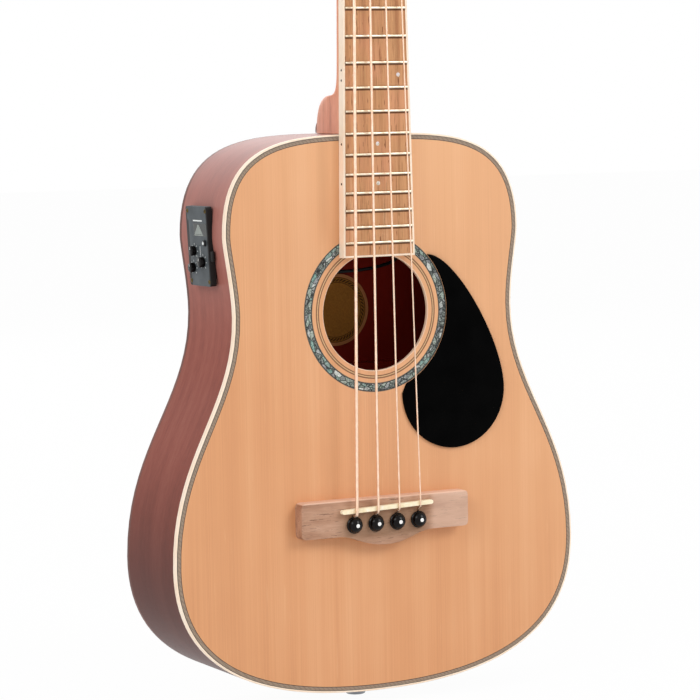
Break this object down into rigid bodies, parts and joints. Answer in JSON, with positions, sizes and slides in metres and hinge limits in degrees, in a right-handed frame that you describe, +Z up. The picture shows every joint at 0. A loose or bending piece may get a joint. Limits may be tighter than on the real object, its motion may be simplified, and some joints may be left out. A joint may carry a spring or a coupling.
{
  "type": "acoustic bass guitar",
  "caption": "Short-scale acoustic bass guitar: hollow wooden body with soundhole, fretted neck, wound strings on geared tuners, pinned bridge and a side preamp with output jack.",
  "frame": {"origin": "on the neck's centre plane at the soundboard's level, at the height where a hanger's yoke carries the headstock", "axes": "+Z up the neck towards the headstock, +Y from the soundboard's face into the body, +X towards the treble side"},
  "size_m": [0.332, 0.109, 0.9152],
  "materials": {
    "spruce": "glossy lacquer",
    "mahogany": "glossy lacquer",
    "inner_wood": "raw, sanded",
    "cream_plastic": "gloss",
    "purfling": "glossy lacquer",
    "shell": "gloss",
    "rosewood": "oiled, open pores",
    "bridge_wood": "oiled, open pores",
    "bone": "satin",
    "black_gloss": "gloss",
    "dark_plastic": "satin",
    "grey_plastic": "satin",
    "paper": "matt paper",
    "steel": "satin",
    "chrome": "polished",
    "bronze": "wound wire",
    "brass": "satin"
  },
  "bodies": {
    "instrument": {"soundboard": "spruce", "back_plate": "mahogany", "side_bass": "mahogany", "side_treble": "mahogany", "neck": "mahogany", "neck_block": "inner_wood", "tail_block": "inner_wood", "lining_top": "inner_wood", "lining_back": "inner_wood", "soundboard_bracing": "inner_wood", "transverse_brace": "inner_wood", "back_bracing": "inner_wood", "bridge_plate": "inner_wood", "binding_top": "cream_plastic", "binding_back": "cream_plastic", "fretboard_binding": "cream_plastic", "purfling_top": "purfling", "rosette_line_ring": "purfling", "rosette_shell_ring": "shell", "fretboard": "rosewood", "bridge": "bridge_wood", "saddle": "bone", "nut": "bone", "pickguard": "black_gloss", "battery_lead": "black_gloss", "pickup_lead": "black_gloss", "jack_lead": "black_gloss", "preamp_panel": "dark_plastic", "preamp_box": "dark_plastic", "meter_window": "grey_plastic", "paper_label": "paper", "truss_rod": "steel", "output_jack": "steel", "battery": "steel", "tuner_housing_1": "chrome", "tuner_housing_2": "chrome", "tuner_housing_3": "chrome", "tuner_housing_4": "chrome", "string_1": "bronze", "string_2": "bronze", "string_3": "bronze", "string_4": "bronze", "saddle_pickup": "brass"},
    "pin_1": {"bridge_pin_1": "black_gloss"},
    "pin_2": {"bridge_pin_2": "black_gloss"},
    "pin_3": {"bridge_pin_3": "black_gloss"},
    "pin_4": {"bridge_pin_4": "black_gloss"},
    "truss_nut": {"truss_rod_nut": "steel"},
    "post_1": {"tuner_post_1": "chrome"},
    "post_2": {"tuner_post_2": "chrome"},
    "post_3": {"tuner_post_3": "chrome"},
    "post_4": {"tuner_post_4": "chrome"},
    "key_1": {"tuner_key_1": "chrome"},
    "key_2": {"tuner_key_2": "chrome"},
    "key_3": {"tuner_key_3": "chrome"},
    "key_4": {"tuner_key_4": "chrome"},
    "volume_knob": {"knob_volume": "black_gloss"},
    "treble_knob": {"knob_treble": "black_gloss"},
    "bass_knob": {"knob_bass": "black_gloss"},
    "button": {"tune_button": "grey_plastic"}
  },
  "joints": [
    {"name": "bridge_pin_1_pull", "type": "slide", "parent": "instrument", "child": "pin_1", "axis": [0, -1, 0], "range_m": [0, 0.026]},
    {"name": "bridge_pin_2_pull", "type": "slide", "parent": "instrument", "child": "pin_2", "axis": [0, -1, 0], "range_m": [0, 0.026]},
    {"name": "bridge_pin_3_pull", "type": "slide", "parent": "instrument", "child": "pin_3", "axis": [0, -1, 0], "range_m": [0, 0.026]},
    {"name": "bridge_pin_4_pull", "type": "slide", "parent": "instrument", "child": "pin_4", "axis": [0, -1, 0], "range_m": [0, 0.026]},
    {"name": "truss_rod_nut_turn", "type": "hinge", "parent": "instrument", "child": "truss_nut", "pos_m": [0, 0.0072, -0.38497], "axis": [0, 0, 1], "range_deg": [-180, 180]},
    {"name": "tuner_post_1_turn", "type": "hinge", "parent": "instrument", "child": "post_1", "pos_m": [-0.0205, 0.01057, 0.03313], "axis": [0, 0.9744, -0.225], "continuous": true, "deforming": ["string_1"]},
    {"name": "tuner_post_2_turn", "type": "hinge", "parent": "instrument", "child": "post_2", "pos_m": [-0.0205, 0.02182, 0.08185], "axis": [0, 0.9744, -0.225], "continuous": true, "deforming": ["string_2"]},
    {"name": "tuner_post_3_turn", "type": "hinge", "parent": "instrument", "child": "post_3", "pos_m": [0.0205, 0.01057, 0.03313], "axis": [0, 0.9744, -0.225], "continuous": true, "deforming": ["string_4"]},
    {"name": "tuner_post_4_turn", "type": "hinge", "parent": "instrument", "child": "post_4", "pos_m": [0.0205, 0.02182, 0.08185], "axis": [0, 0.9744, -0.225], "continuous": true, "deforming": ["string_3"]},
    {"name": "tuner_key_1_turn", "type": "hinge", "parent": "instrument", "child": "key_1", "pos_m": [-0.0205, 0.03213, 0.03893], "axis": [1, 0, 0], "continuous": true},
    {"name": "tuner_key_2_turn", "type": "hinge", "parent": "instrument", "child": "key_2", "pos_m": [-0.0205, 0.04338, 0.08765], "axis": [1, 0, 0], "continuous": true},
    {"name": "tuner_key_3_turn", "type": "hinge", "parent": "instrument", "child": "key_3", "pos_m": [0.0205, 0.03213, 0.03893], "axis": [1, 0, 0], "continuous": true},
    {"name": "tuner_key_4_turn", "type": "hinge", "parent": "instrument", "child": "key_4", "pos_m": [0.0205, 0.04338, 0.08765], "axis": [1, 0, 0], "continuous": true},
    {"name": "knob_volume_turn", "type": "hinge", "parent": "instrument", "child": "volume_knob", "pos_m": [-0.12396, 0.03158, -0.44745], "axis": [-0.9988, 0, -0.0482], "range_deg": [-140, 140]},
    {"name": "knob_treble_turn", "type": "hinge", "parent": "instrument", "child": "treble_knob", "pos_m": [-0.12433, 0.04528, -0.43966], "axis": [-0.9988, 0, -0.0482], "range_deg": [-140, 140]},
    {"name": "knob_bass_turn", "type": "hinge", "parent": "instrument", "child": "bass_knob", "pos_m": [-0.12374, 0.04808, -0.45195], "axis": [-0.9988, 0, -0.0482], "range_deg": [-140, 140]},
    {"name": "tune_button_press", "type": "slide", "parent": "instrument", "child": "button", "axis": [0.9988, 0, 0.0482], "range_m": [0, 0.001], "stiffness_N_per_m": 200}
  ],
  "couplings": [
    {"joint": "tuner_post_1_turn", "follows": "tuner_key_1_turn", "ratio": 0.071429},
    {"joint": "tuner_post_2_turn", "follows": "tuner_key_2_turn", "ratio": 0.071429},
    {"joint": "tuner_post_3_turn", "follows": "tuner_key_3_turn", "ratio": 0.071429},
    {"joint": "tuner_post_4_turn", "follows": "tuner_key_4_turn", "ratio": 0.071429}
  ]
}
